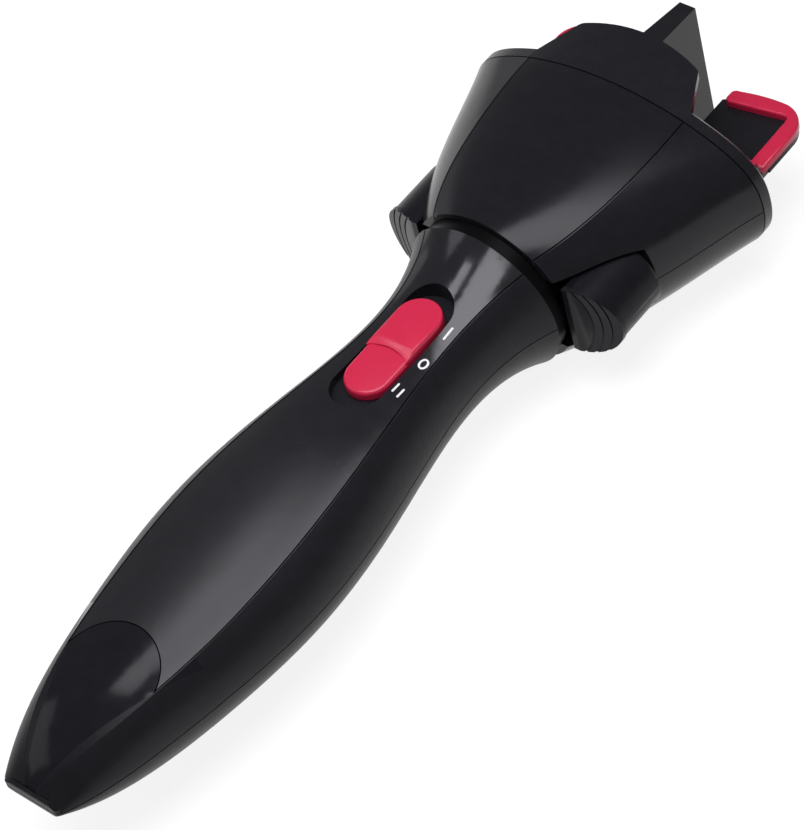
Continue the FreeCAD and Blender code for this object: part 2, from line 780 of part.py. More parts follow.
def build_neck(pieces):
    """The turned neck piece closes the handle and carries the head on its tube."""
    band_start = collar_section.at + neck_gap
    neck = rod_along_y(neck_band_radius, band_start, neck_band_end)
    spigot = tube_along_y(spigot_radius, spigot_radius - spigot_wall, band_start - spigot_length,
                          band_start).common(below_seam(spigot_flat))
    tube = rod_along_y(neck_tube_radius, neck_band_end, neck_tube_end)
    bore = rod_along_y(bush_radius + 0.02, band_start - 1, neck_tube_end + 1)
    pieces["neck_bearing"] = neck.fuse(spigot).fuse(tube).cut(bore).removeSplitter()
    for name, start in (("rear_bush", band_start), ("neck_bush", neck_tube_end - bush_length)):
        pieces[name] = tube_along_y(bush_radius, shaft_radius + running_clearance, start,
                                    start + bush_length)


# ================================================================ head pieces

def lever_profile(grow, start, end):
    """The D-shaped section of a side lever, flat inside and round outside, as a bar along Y."""
    half_width = lever_half_width + grow
    half_height = lever_half_height + grow
    handle = 4.0 / 3.0 * math.tan(math.pi / 8.0)
    inner = lever_centre_x - 14.0
    y = start
    top = Vector(lever_centre_x, y, half_height)
    side = Vector(lever_centre_x + half_width, y, 0)
    upper = [top, top + Vector(half_width * handle, 0, 0), side + Vector(0, 0, half_height * handle), side]
    lower = turned_over(upper, flip_z=True)
    flat_top = [Vector(inner, y, half_height), top]
    back = [Vector(inner, y, -half_height), Vector(inner, y, half_height)]
    flat_low = [lower[-1], Vector(inner, y, -half_height)]
    wire = Part.Wire([bezier(*run) for run in (flat_top, upper, lower, flat_low, back)])
    return Part.Face(wire).extrude(Vector(0, end - start, 0))


def build_right_lever():
    start = pad_floor_y - 8.0
    body = lever_profile(0.0, start, lever_front)
    hollow = lever_profile(-lever_wall, pad_floor_y - 8.0, lever_front + 5.0)

    def behind_pad(offset):
        """Everything on the tail side of the thumb pad, moved forward by an offset."""
        reach = 60.0
        near_x = lever_centre_x - reach
        far_x = lever_centre_x + reach
        corners = [Vector(near_x, pad_floor_y + offset, 0),
                   Vector(lever_axis_x - (pad_centre_y - pad_floor_y) / pad_slope, pad_floor_y + offset, 0),
                   Vector(far_x, pad_centre_y + pad_slope * (far_x - lever_axis_x) + offset, 0),
                   Vector(far_x, start - 20.0, 0), Vector(near_x, start - 20.0, 0)]
        face = Part.Face(Part.makePolygon(corners + corners[:1]))
        face.translate(Vector(0, 0, -reach))
        return face.extrude(Vector(0, 0, 2.0 * reach))

    hollow = hollow.cut(behind_pad(pad_thickness))
    body = body.cut(behind_pad(0.0)).cut(hollow)
    body = body.cut(box((-10, 0, -30), (lever_inner_x, 300, 30)))
    shallow = behind_pad(pad_groove_depth)
    for count in range(pad_groove_count):
        grow = -1.8 - count * pad_groove_pitch
        ring = lever_profile(grow, start, lever_front - 8.0)
        ring = ring.cut(lever_profile(grow - pad_groove_width, start - 1, lever_front - 7.0))
        ring = ring.common(shallow)
        ring = ring.common(box((lever_centre_x + 1.0, 0, -6.5), (60, 300, 6.5)))
        body = body.cut(ring)
    lug_low_x = lever_axis_x - lever_lug_radius
    lug = box((lug_low_x, lever_front - 6.0, lever_lug_low),
              (lever_axis_x + lever_lug_radius - 0.6, lever_axis_y, lever_lug_high))
    lug = lug.fuse(rod_along_z(lever_lug_radius, lever_lug_low, lever_lug_high, lever_axis_x,
                               lever_axis_y))
    bridge = lever_profile(-lever_wall / 2.0, lever_front - lever_wall, lever_front)
    bridge = bridge.common(box((lug_low_x, 0, -lever_half_height), (60, 300, lever_half_height)))
    finger = box((hook_x - 1.4, lever_axis_y - finger_thickness / 2.0, -finger_height),
                 (lever_axis_x, lever_axis_y + finger_thickness / 2.0, finger_height))
    bore = rod_along_z(lever_pin_radius + running_clearance, -20, 20, lever_axis_x, lever_axis_y)
    return joined([body, bridge, lug, finger]).cut(bore)


def right_lever_space():
    """The opening in the head shells round the right lever, with its gap."""
    return lever_profile(lever_gap, nape_section.at - 5.0, lever_front + lever_gap)


def build_head(pieces):
    outside = head_outside()
    cavity = head_cavity(head_wall)
    wall = outside.cut(cavity)
    hub_radius = clutch_outer + hub_wall
    wall = wall.cut(rod_along_y(hub_radius + 0.1, nape_section.at - 1, nape_section.at + nape_wall + 1))
    opening = right_lever_space()
    wall = wall.cut(opening).cut(mirrored(opening))
    upper_recess = panel_space(HEAD_SECTIONS, 0.0, panel_thickness)
    panel = outside.common(panel_space(HEAD_SECTIONS, panel_gap, panel_thickness))

    ribs = []
    for y in (clutch_start + 1.0, clutch_start + clutch_length - 1.0 - rib_thickness):
        rib = cavity.common(slab_along_y(y, y + rib_thickness))
        rib = rib.common(box((-17.0, 0, -40), (17.0, 300, 40)))
        ribs.append(rib.cut(rod_along_y(hub_radius + 0.05, y - 1, y + rib_thickness + 1)))
    pin_posts = []
    for side in (-1, 1):
        post = rod_along_z(lever_pin_radius + 1.6, lever_post_start, 30.0, side * lever_axis_x,
                           lever_axis_y)
        pin_posts.append(post.common(outside).cut(upper_recess))
    screw_posts = []
    for side in (-1, 1):
        post = rod_along_z(boss_radius, seam_gap / 2.0, 40.0, side * head_screw_x, head_screw_y)
        screw_posts.append(post.common(outside).cut(upper_recess))

    upper = wall.common(above_seam(seam_gap / 2.0)).cut(upper_recess)
    upper = upper.fuse([r.common(above_seam(seam_gap / 2.0)) for r in ribs] + pin_posts + screw_posts)
    for side in (-1, 1):
        pin_hole = rod_along_z(lever_pin_radius, 0.0, lever_pin_end, side * lever_axis_x,
                               lever_axis_y)
        upper = upper.cut(pin_hole)
    upper = upper.removeSplitter()
    lower = upper.mirror(Vector(0, 0, 0), Vector(0, 0, 1))
    seat = -(rim_section.ridge_z - panel_thickness - 0.4 - screw_head_height)
    screws = []
    for side in (-1, 1):
        x = side * head_screw_x
        upper = upper.cut(rod_along_z(screw_shank_radius, -1, 10.0, x, head_screw_y))
        lower = lower.cut(rod_along_z(screw_shank_radius + screw_clearance, -40, 1, x, head_screw_y))
        lower = lower.cut(rod_along_z(screw_head_radius + screw_clearance, -40, seat, x, head_screw_y))
        screws.append(screw_along_z(x, head_screw_y, seat - screw_head_height, 26.0))
    pieces["head_upper_shell"] = upper
    pieces["head_lower_shell"] = lower
    pieces["head_top_panel"] = panel
    pieces["head_bottom_panel"] = panel.mirror(Vector(0, 0, 0), Vector(0, 0, 1))
    pieces["head_screws"] = Part.Compound(screws)


def cap_spigot_form(inset):
    """A plug that follows the inside of the head's rim, from the cap's back face inwards."""
    back = between_sections(HEAD_SECTIONS, cap_start - cap_spigot)
    outlines = [head_cavity_outline(back, head_wall + inset),
                head_cavity_outline(rim_section, head_wall + inset),
                head_cavity_outline(rim_section._replace(at=cap_start), head_wall + inset)]
    return Part.makeLoft(outlines, True, True)


def build_front_cap(pieces):
    rim = rim_section._replace(at=cap_start)
    plate = Part.Face(head_outline(rim)).extrude(Vector(0, cap_thickness, 0))
    front_edges = [e for e in plate.Edges if e.BoundBox.YMin > cap_front - 0.01]
    plate = plate.makeChamfer(cap_edge, front_edges)
    spigot = cap_spigot_form(0.15).cut(cap_spigot_form(0.15 + cap_spigot_wall))

    section = rim_section._replace(at=cap_front - 1.0)
    thin = section._replace(ridge_z=section.ridge_z - tongue_thickness)
    outer_run = crown_points(section)
    inner_run = turned_over(crown_points(thin), flip_x=False)
    edges = [bezier(*outer_run), bezier(outer_run[-1], inner_run[0]), bezier(*inner_run),
             bezier(inner_run[-1], outer_run[0])]
    crescent = Part.Face(Part.Wire(edges)).extrude(Vector(0, tongue_reach - cap_front + 6.0, 0))
    root_x = section.ridge_x - 0.3
    corner = Vector(tongue_corner_x, tongue_corner, 0)
    front = Vector(0, tongue_reach, 0)
    plan = [Part.LineSegment(Vector(-root_x, cap_front - 1.0, 0), Vector(root_x, cap_front - 1.0, 0)),
            Part.LineSegment(Vector(root_x, cap_front - 1.0, 0), corner),
            Part.Arc(corner, front, Vector(-corner.x, corner.y, 0)),
            Part.LineSegment(Vector(-corner.x, corner.y, 0), Vector(-root_x, cap_front - 1.0, 0))]
    plan_face = Part.Face(Part.Wire([p.toShape() for p in plan]))
    blank = plan_face.extrude(Vector(0, 0, 40))
    corner_edges = [e for e in blank.Edges if e.Length > 39 and abs(e.Vertexes[0].Point.y - corner.y) < 0.01]
    blank = blank.makeFillet(tongue_corner_radius, corner_edges)
    tongue = crescent.common(blank)
    lower_tongue = tongue.mirror(Vector(0, 0, 0), Vector(0, 0, 1))

    def fin_outline(y, half_thickness_here, height):
        corners = [Vector(half_thickness_here, y, -height), Vector(half_thickness_here, y, height),
                   Vector(-half_thickness_here, y, height), Vector(-half_thickness_here, y, -height)]
        return Part.makePolygon(corners + corners[:1])

    fin = Part.makeLoft([fin_outline(cap_front - 1.0, fin_root_half_thickness, fin_root_height),
                         fin_outline(fin_reach, fin_tip_half_thickness, fin_tip_height)], True, True)
    cap = joined([plate, spigot, tongue, lower_tongue, fin])

    bearing_back = rotor_back - 0.3 - well_floor
    additions = []
    cuts = []
    for side in (-1, 1):
        x = side * hook_x
        cup = rod_along_y(rotor_radius + well_clearance + 1.4, bearing_back, cap_start + 0.1, x)
        additions.append(cup)
        cuts.append(rod_along_y(rotor_radius + well_clearance, rotor_back - 0.3, cap_front + 30, x))
        cuts.append(rod_along_y(spindle_radius + running_clearance, 190, 240, x))
        for height in (-1, 1):
            post_start = gear_plate_start + gear_plate_thickness
            additions.append(rod_along_y(post_radius, post_start, cap_start + 0.1, side * post_x,
                                         height * post_z))
            cuts.append(rod_along_y(screw_shank_radius, post_start - 1, post_start + 8,
                                    side * post_x, height * post_z))
    bearing_length = shaft_front + 0.4
    additions.append(rod_along_y(shaft_radius + 2.2, bearing_length - 6.0, cap_start + 0.1))
    cuts.append(rod_along_y(shaft_radius + running_clearance, 190, bearing_length))
    for shape in additions:
        cap = cap.fuse(shape)
    for shape in cuts:
        cap = cap.cut(shape)
    pieces["front_cap"] = cap.removeSplitter()


def build_hub(pieces):
    """The hub turns on the neck tube and holds both one-way bearings."""
    sleeve_outer = clutch_outer + hub_wall
    web_start = neck_tube_end + 0.4
    web_end = web_start + 1.8
    nose_end = shaft_clutch_start + shaft_clutch_length
    hub = rod_along_y(sleeve_outer, nape_section.at + 0.4, web_end)
    hub = hub.fuse(rod_along_y(shaft_clutch_outer + 2.0, web_start, gear_plate_start))
    hub = hub.cut(rod_along_y(clutch_outer, clutch_start, clutch_start + clutch_length + 50).common(
        slab_along_y(0, web_start)))
    hub = hub.cut(rod_along_y(neck_tube_radius + 0.4, 0, web_start))
    hub = hub.cut(rod_along_y(shaft_clutch_outer, shaft_clutch_start, nose_end + 10))
    hub = hub.cut(rod_along_y(shaft_radius + 0.5, 0, 300))
    pieces["head_hub"] = hub.removeSplitter()
    pieces["neck_clutch_bearing"] = tube_along_y(clutch_outer, neck_tube_radius + running_clearance,
                                                 clutch_start, clutch_start + clutch_length)
    pieces["shaft_clutch_bearing"] = tube_along_y(shaft_clutch_outer, shaft_radius + running_clearance,
                                                  shaft_clutch_start, nose_end)

    plate_end_y = gear_plate_start + gear_plate_thickness
    half_height = post_z + post_radius
    plate = box((-hook_x, gear_plate_start, -half_height), (hook_x, plate_end_y, half_height))
    for side in (-1, 1):
        plate = plate.fuse(rod_along_y(spindle_radius + 3.5, gear_plate_start, plate_end_y, side * hook_x))
    plate = plate.common(rod_along_y(33.0, gear_plate_start - 1, plate_end_y + 1))
    for side in (-1, 1):
        plate = plate.cut(rod_along_y(spindle_radius + running_clearance, 190, 240, side * hook_x))
    plate = plate.cut(rod_along_y(shaft_radius + 0.5, 190, 240))
    screws = []
    for side in (-1, 1):
        for height in (-1, 1):
            x, z = side * post_x, height * post_z
            plate = plate.cut(rod_along_y(screw_shank_radius + screw_clearance, 190, 240, x, z))
            head = rod_along_y(screw_head_radius, gear_plate_start - screw_head_height,
                               gear_plate_start, x, z)
            screws.append(head.fuse(rod_along_y(screw_shank_radius, gear_plate_start,
                                                plate_end_y + 6.0, x, z)))
    pieces["gear_plate"] = plate.removeSplitter()
    pieces["gear_plate_screws"] = Part.Compound(screws)


# ================================================================ hooks and levers

def right_rotor():
    """Spindle, disc and flat plate of the right hook in one moulding, bored for the push rod."""
    spindle = rod_along_y(spindle_radius, spindle_start, rotor_back, hook_x)
    disc = rod_along_y(rotor_radius, rotor_back, cap_front - 0.1, hook_x)
    plate_low = plate_top - plate_thickness
    plate = box((plate_inner_x, cap_front - 0.2, plate_low), (plate_outer_x, plate_end, plate_top))
    outer_corner = [e for e in plate.Edges
                    if e.Length < plate_thickness + 0.01 and e.BoundBox.YMin > plate_end - 0.01
                    and abs(e.tangentAt(e.FirstParameter).z) > 0.9]
    plate = plate.makeFillet(plate_corner, outer_corner)
    ear_low = hook_x - jaw_heel_width / 2.0 - 1.2 - ear_thickness
    ear_high = plate_outer_x - ear_thickness
    ears = []
    for x in (ear_low, ear_high):
        ear = box((x, cap_front - 0.2, plate_low),
                  (x + ear_thickness, jaw_axis_y + jaw_barrel_radius, jaw_axis_height))
        block = box((x, cap_front - 0.2, plate_low),
                    (x + ear_thickness, jaw_axis_y, jaw_axis_height + jaw_barrel_radius))
        knuckle = rod_along_x(jaw_barrel_radius, x, x + ear_thickness, jaw_axis_y, jaw_axis_height)
        ears += [ear, block, knuckle]
    whole = joined([spindle, disc, plate] + ears)
    pocket = rod_along_x(jaw_barrel_radius + 0.35, ear_low + ear_thickness, ear_high, jaw_axis_y,
                         jaw_axis_height)
    heel_room = box((hook_x - jaw_heel_width / 2.0 - 0.4, cap_front, jaw_heel_low - 0.6),
                    (hook_x + jaw_heel_width / 2.0 + 0.4, jaw_axis_y + 4.5, jaw_axis_height))
    rod_bore = rod_along_y(rod_radius + running_clearance, 190, jaw_axis_y, hook_x)
    pin_bore = rod_along_x(jaw_pin_radius, 0, 60, jaw_axis_y, jaw_axis_height)
    return whole.cut(pocket).cut(heel_room).cut(rod_bore).cut(pin_bore)


def right_jaw():
    """The red hook: an arm up the outer side, bent across the front, on a barrel with a heel."""
    low = plate_top + band_gap
    high = low + band_thickness
    inner_x = band_outer_x - band_width
    tip_x = plate_inner_x + band_tip_gap
    arm_start = jaw_axis_y
    outer = box((tip_x, arm_start, low), (band_outer_x, band_end, high))
    corner = [e for e in outer.Edges if abs(e.tangentAt(e.FirstParameter).z) > 0.9
              and e.BoundBox.YMin > band_end - 0.01 and e.BoundBox.XMin > band_outer_x - 0.01]
    outer = outer.makeFillet(plate_corner, corner)
    inner = box((tip_x - 1.0, arm_start - 1.0, low - 1), (inner_x, band_end - band_width, high + 1))
    band = outer.cut(inner)
    tip_edges = [e for e in band.Edges if abs(e.tangentAt(e.FirstParameter).z) > 0.9
                 and e.BoundBox.XMax < tip_x + 0.01]
    band = band.makeFillet(1.6, tip_edges)
    top_edges = [e for e in band.Edges if e.BoundBox.ZMin > high - 0.01 and e.BoundBox.YMax > arm_start + 1.0]
    band = band.makeFillet(0.7, top_edges)
    barrel_start = hook_x - jaw_heel_width / 2.0 - 1.0
    barrel = rod_along_x(jaw_barrel_radius, barrel_start, band_outer_x - 0.9, jaw_axis_y, jaw_axis_height)
    band = band.cut(box((0, jaw_axis_y - 5, -10), (plate_outer_x, jaw_axis_y + 0.01, 20)))
    end_cut = box((band_outer_x - 0.9, jaw_axis_y - 5, -10), (60, jaw_axis_y + 2.4, 20))
    heel = box((hook_x - jaw_heel_width / 2.0, jaw_axis_y - jaw_heel_half_thickness, jaw_heel_low),
               (hook_x + jaw_heel_width / 2.0, jaw_axis_y + jaw_heel_half_thickness, jaw_axis_height))
    bore = rod_along_x(jaw_pin_radius + running_clearance, 0, 60, jaw_axis_y, jaw_axis_height)
    return joined([band.cut(end_cut), barrel, heel]).cut(bore)


def right_push_rod():
    flange = rod_along_y(rod_flange_radius, rod_start, rod_start + rod_flange_thickness, hook_x)
    end = jaw_axis_y - jaw_heel_half_thickness - rod_end_gap - rod_radius
    shaft = rod_along_y(rod_radius, rod_start, end, hook_x)
    tip = Part.makeSphere(rod_radius, Vector(hook_x, end, 0))
    return flange.fuse(shaft).fuse(tip).removeSplitter()


def right_lever_spring():
    """A torsion spring on the lever pin: one leg on the lever's front face, one towards the gears."""
    turns = []
    for count in range(spring_turns):
        z = spring_start + spring_wire_radius + count * spring_turn_pitch
        turns.append(Part.makeTorus(spring_coil_radius, spring_wire_radius,
                                    Vector(lever_axis_x, lever_axis_y, z)))
    first_z = spring_start + spring_wire_radius
    last_z = first_z + (spring_turns - 1) * spring_turn_pitch
    lever_leg = rod_along_y(spring_leg_radius, lever_front, lever_axis_y + spring_leg_bend,
                            lever_axis_x + spring_coil_radius, last_z)
    gear_leg = rod_along_x(spring_leg_radius, spring_leg_tip, lever_axis_x + spring_leg_bend,
                           lever_axis_y + spring_coil_radius, first_z)
    return joined(turns + [lever_leg, gear_leg])


def build_hooks_and_levers(pieces):
    gear_end = hook_gear_start + hook_gear_width
    right_gear = external_gear(hook_gear_teeth, hook_module, hook_gear_start, gear_end,
                               spindle_radius, math.pi + math.pi / hook_gear_teeth, hook_x)
    pin_x = (hook_x - jaw_heel_width / 2.0 - 1.2 - ear_thickness, plate_outer_x)
    right_pieces = {
        "hook_rotor": right_rotor(),
        "hook_jaw": right_jaw(),
        "hook_gear": right_gear,
        "push_rod": right_push_rod(),
        "jaw_pin": rod_along_x(jaw_pin_radius, pin_x[0], pin_x[1], jaw_axis_y, jaw_axis_height),
        "side_lever": build_right_lever(),
        "lever_pin": rod_along_z(lever_pin_radius, -lever_pin_end, lever_pin_end, lever_axis_x,
                                 lever_axis_y),
        "lever_spring": right_lever_spring(),
    }
    for name, shape in right_pieces.items():
        pieces[name + "_right"] = shape
        pieces[name + "_left"] = mirrored(shape)


def main():
    pieces = {}
    build_handle(pieces)
    build_switch(pieces)
    build_batteries(pieces)
    build_drive(pieces)
    build_neck(pieces)
    build_hub(pieces)
    build_head(pieces)
    build_front_cap(pieces)
    build_hooks_and_levers(pieces)
    os.makedirs("parts", exist_ok=True)
    to_base = Vector(0, -overall_length / 2.0, half_thickness)
    for name, shape in pieces.items():
        placed = shape.copy()
        placed.translate(to_base)
        placed.exportStep("parts/%s.step" % name)
        print(name, len(placed.Solids), round(placed.Volume, 1), placed.isValid())


main()
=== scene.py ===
import math

import bmesh
import bpy
from mathutils import Matrix, Vector
from mathutils.bvhtree import BVHTree


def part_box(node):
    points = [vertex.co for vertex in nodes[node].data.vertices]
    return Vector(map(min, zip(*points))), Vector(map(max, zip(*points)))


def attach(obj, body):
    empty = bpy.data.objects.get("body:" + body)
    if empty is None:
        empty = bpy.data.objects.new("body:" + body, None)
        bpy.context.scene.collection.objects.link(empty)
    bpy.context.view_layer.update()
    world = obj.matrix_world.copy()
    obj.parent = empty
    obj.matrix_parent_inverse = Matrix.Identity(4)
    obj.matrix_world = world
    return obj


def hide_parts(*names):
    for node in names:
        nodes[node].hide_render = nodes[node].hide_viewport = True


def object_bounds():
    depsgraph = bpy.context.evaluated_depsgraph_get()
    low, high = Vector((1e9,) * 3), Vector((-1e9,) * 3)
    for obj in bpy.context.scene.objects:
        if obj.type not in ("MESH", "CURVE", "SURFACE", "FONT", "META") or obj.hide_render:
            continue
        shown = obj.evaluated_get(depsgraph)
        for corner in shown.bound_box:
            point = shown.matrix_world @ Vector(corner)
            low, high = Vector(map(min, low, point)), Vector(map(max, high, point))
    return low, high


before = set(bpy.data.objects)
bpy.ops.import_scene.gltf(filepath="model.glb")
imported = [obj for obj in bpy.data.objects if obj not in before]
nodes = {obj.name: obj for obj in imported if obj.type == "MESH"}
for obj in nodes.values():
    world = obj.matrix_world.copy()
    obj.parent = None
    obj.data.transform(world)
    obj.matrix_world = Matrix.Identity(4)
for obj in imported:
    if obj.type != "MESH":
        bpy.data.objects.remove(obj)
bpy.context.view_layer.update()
MM = 0.001

# Shapes are in millimetres: x across the tool, y as a station along it from the tail, and z up from the
# plane in which its housings are split. What stands on the right is given, and the left mirrors it.
# Places and sizes of the camera, the lamps and the floor are in metres, in the frame.

# ---------------------------------------------------------------- where the tool lies in the frame
tail_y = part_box("handle_upper_shell")[0].y / MM
upper_shell_low_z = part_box("handle_upper_shell")[0].z / MM
split_z = (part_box("hook_rotor_right")[0].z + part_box("hook_rotor_right")[1].z) / 2.0 / MM
SIDES = {"right": 1, "left": -1}
# Cuts that go right through a piece reach this far up or down.
beyond_z = 30.0

# ---------------------------------------------------------------- polish on the tail dome and the neck
# The strip on the dome widens from the tail through a bend to a reach: a station and half a width there.
dome_front = 43.7
dome_polish_margin = 1.0
polish_above_edge = 2.0
polish_start_half_width = 1.4
polish_bend = (34.0, 14.1)
polish_reach = (50.0, 20.0)
neck_polish_start = 92.0
neck_polish_end = 122.0

# ---------------------------------------------------------------- printed switch marks
ink_lift = 0.02
ink_thickness = 0.05
stroke_width = 0.52
mark_one_place, mark_one_length = (8.6, 149.3), 4.0
mark_off_place, mark_off_length, mark_off_width = (9.0, 139.0), 3.2, 2.35
mark_two_places, mark_two_length = ((8.0, 129.6), (9.9, 129.0)), 3.0

# ---------------------------------------------------------------- hooks: flat plate and red band
# Of the CAD's rotor and jaw, what lies behind a station is kept, and the rotor is thinned from below. The
# band's outer side runs from its shoulder by the bend to the front, and from there by the sag to the tip.
hook_space_start_y = 190.0
hook_space_x = 45.0
rotor_kept_to_y = 240.3
plate_thinned_from = (10.0, 232.0)
plate_thinned_to_y = 245.0
plate_thinned_low = -5.0
plate_low, plate_top = -2.2, -0.5
plate_root_y = 240.1
plate_inner_x, plate_outer_x = 13.1, 37.2
plate_inner_front_y = 254.2
plate_inset = 0.2
jaw_kept_to_y = 238.0
band_low, band_top, band_edge = -0.3, 1.9, 0.6
band_root_y = 237.8
band_inner_x, band_outer_x = 33.0, 37.4
band_shoulder_y = 251.5
band_bend = (35.15, 256.5)
band_front = (30.0, 258.9)
band_sag = (23.6, 258.5)
band_tip_front = (17.2, 257.2)
band_tip_x = 14.9
band_tip_front_y, band_tip_rear_y = 256.9, 252.5
band_inner_corner_y = 255.4
band_tip_front_radius, band_tip_rear_radius, band_inner_radius = 1.7, 1.3, 1.2

# ---------------------------------------------------------------- switch button and the slot's floor
# Over the run, the button's top falls a little ahead of the crest and more behind it, as far as the step.
button_y = 138.95
button_length, button_width = 31.9, 12.6
button_low, button_top, button_edge = 12.2, 15.73, 1.0
crest_ahead = 1.0
slope_run, front_fall, rear_fall = 40.0, 1.0, 9.6
step_y, step_radius, step_drop = 126.0, 12.0, 1.0
stem_half_width, stem_half_length = 2.5, 3.0
slider_top = 10.75
stem_overlap = 0.2
slot_y, slot_length, slot_width = 138.5, 40.9, 13.96
slot_floor_low, slot_floor_top = 11.1, 11.9
stem_way_half_width, stem_way_start, stem_way_end = 2.8, 131.4, 146.2

# ---------------------------------------------------------------- thumb pads of the side levers
# A pad's face lies square across as far as the bend, then slopes forward. Behind and ahead count from it.
pad_space_start, pad_space_end = 170.0, 190.0
pad_face_y = 176.0
pad_inner_x, pad_centre_x = 22.6, 25.0
pad_bend_x, pad_slope, pad_space_x = 24.33, 0.30, 45.0
pad_half_width, pad_half_height = 11.7, 10.9
pad_behind, pad_ahead = -0.7, 0.8
groove_insets = (2.6, 4.95, 7.3)
groove_radius, groove_width = 18.0, 0.5
groove_half_turn = math.radians(40.0)
groove_behind, groove_floor = -1.5, -0.4

# ---------------------------------------------------------------- camera
# The roll is in degrees, and the lens and its sensor are in millimetres.
camera_place = (0.4498, -0.3516, 0.6749)
camera_target = (0.00517, 0.00022, 0.0255)
camera_roll = -17.19
camera_lens = 155.31
sensor_height = 36.0
nearest_seen, furthest_seen = 0.05, 20.0

# ---------------------------------------------------------------- light and floor
room_light = 0.18
room_colour = (0.98, 0.99, 1.0, 1.0)
lamp_colour = (0.96, 0.94, 1.0)
floor_glow = 1.15
floor_glow_share = 0.75
floor_colour = (0.95, 0.95, 0.95, 1.0)
floor_roughness = 0.9
floor_reach = 6.0
floor_drop = 0.0002

# ---------------------------------------------------------------- surfaces
black = (0.0095, 0.0092, 0.0115)
noise_low, noise_high = 0.35, 0.65
grain_detail = 3.0
polish_noise_scale = 200.0
dome_polish = (0.11, 0.15)
neck_polish = (0.12, 0.16)
sharp_edge = math.radians(32.0)


# ================================================================ materials

def new_material(name):
    """A material with its default shader."""
    material = bpy.data.materials.new(name)
    material.use_nodes = True
    return material


def shader_of(tree):
    """The main shader of a material's tree."""
    return tree.nodes["Principled BSDF"]


def noise_between(tree, scale, low, high, detail=4.0):
    """A noise over the object's own coordinates, remapped to run between two values."""
    coordinates = tree.nodes.new("ShaderNodeTexCoord")
    noise = tree.nodes.new("ShaderNodeTexNoise")
    noise.inputs["Scale"].default_value = scale
    noise.inputs["Detail"].default_value = detail
    tree.links.new(coordinates.outputs["Object"], noise.inputs["Vector"])
    remap = tree.nodes.new("ShaderNodeMapRange")
    remap.inputs["From Min"].default_value = noise_low
    remap.inputs["From Max"].default_value = noise_high
    remap.inputs["To Min"].default_value = low
    remap.inputs["To Max"].default_value = high
    tree.links.new(noise.outputs["Fac"], remap.inputs["Value"])
    return remap.outputs["Result"]


def colour_between(tree, factor, first, second):
    """A mix of two colours."""
    mix = tree.nodes.new("ShaderNodeMix")
    mix.data_type = "RGBA"
    mix.inputs["A"].default_value = (*first, 1.0)
    mix.inputs["B"].default_value = (*second, 1.0)
    tree.links.new(factor, mix.inputs["Factor"])
    return mix.outputs["Result"]


def math_node(tree, operation, first, second):
    """The result of a sum on two values, each a number or a node's output."""
    node = tree.nodes.new("ShaderNodeMath")
    node.operation = operation
    for socket, value in zip(node.inputs, (first, second)):
        if isinstance(value, float):
            socket.default_value = value
        else:
            tree.links.new(value, socket)
    return node.outputs["Value"]


def smooth_ramp(tree, value, low, high):
    """A value that rises smoothly from 0 to 1 as another goes from low to high."""
    node = tree.nodes.new("ShaderNodeMapRange")
    node.interpolation_type = "SMOOTHSTEP"
    node.inputs["From Min"].default_value = low
    node.inputs["From Max"].default_value = high
    tree.links.new(value, node.inputs["Value"])
    return node.outputs["Result"]


def surface(name, colour, shade, roughness, spread, mottle_scale, gloss_scale, grain_scale, grain_mm):
    """A faint mottle in colour and in gloss, over a fine grain."""
    material = new_material(name)
    tree = material.node_tree
    shader = shader_of(tree)
    darker = tuple(channel * shade for channel in colour)
    mottle = noise_between(tree, mottle_scale, 0.0, 1.0)
    tree.links.new(colour_between(tree, mottle, darker, colour), shader.inputs["Base Color"])
    gloss = noise_between(tree, gloss_scale, roughness - spread, roughness + spread)
    tree.links.new(gloss, shader.inputs["Roughness"])
    bump = tree.nodes.new("ShaderNodeBump")
    bump.inputs["Strength"].default_value = 1.0
    bump.inputs["Distance"].default_value = grain_mm * MM
    height = noise_between(tree, grain_scale, 0.0, 1.0, grain_detail)
    tree.links.new(height, bump.inputs["Height"])
    tree.links.new(bump.outputs["Normal"], shader.inputs["Normal"])
    return material


def plastic(name, colour, roughness, grain_scale=2500.0, grain_mm=0.004, shade=0.85, shine=0.5):
    """Moulded plastic: even in colour and gloss, over a moulded grain."""
    material = surface(name, colour, shade, roughness, spread=0.012, mottle_scale=260.0,
                       gloss_scale=700.0, grain_scale=grain_scale, grain_mm=grain_mm)
    shader_of(material.node_tree).inputs["Specular IOR Level"].default_value = shine
    return material


def metal(name, colour, roughness):
    """Bare or plated metal, less even than plastic."""
    material = surface(name, colour, shade=0.8, roughness=roughness, spread=0.08, mottle_scale=300.0,
                       gloss_scale=500.0, grain_scale=1800.0, grain_mm=0.003)
    shader_of(material.node_tree).inputs["Metallic"].default_value = 1.0
    return material


def place_outputs(tree):
    """The object's own coordinates, in metres, as outputs named X, Y and Z."""
    coordinates = tree.nodes.new("ShaderNodeTexCoord")
    split = tree.nodes.new("ShaderNodeSeparateXYZ")
    tree.links.new(coordinates.outputs["Object"], split.inputs["Vector"])
    return split.outputs


def station_value(tree, place):
    """The station along the tool, in millimetres from the tail."""
    station = tree.nodes.new("ShaderNodeMapRange")
    station.clamp = False
    station.inputs["From Min"].default_value = tail_y * MM
    station.inputs["From Max"].default_value = tail_y * MM + 1.0
    station.inputs["To Min"].default_value = 0.0
    station.inputs["To Max"].default_value = 1.0 / MM
    tree.links.new(place["Y"], station.inputs["Value"])
    return station.outputs["Result"]


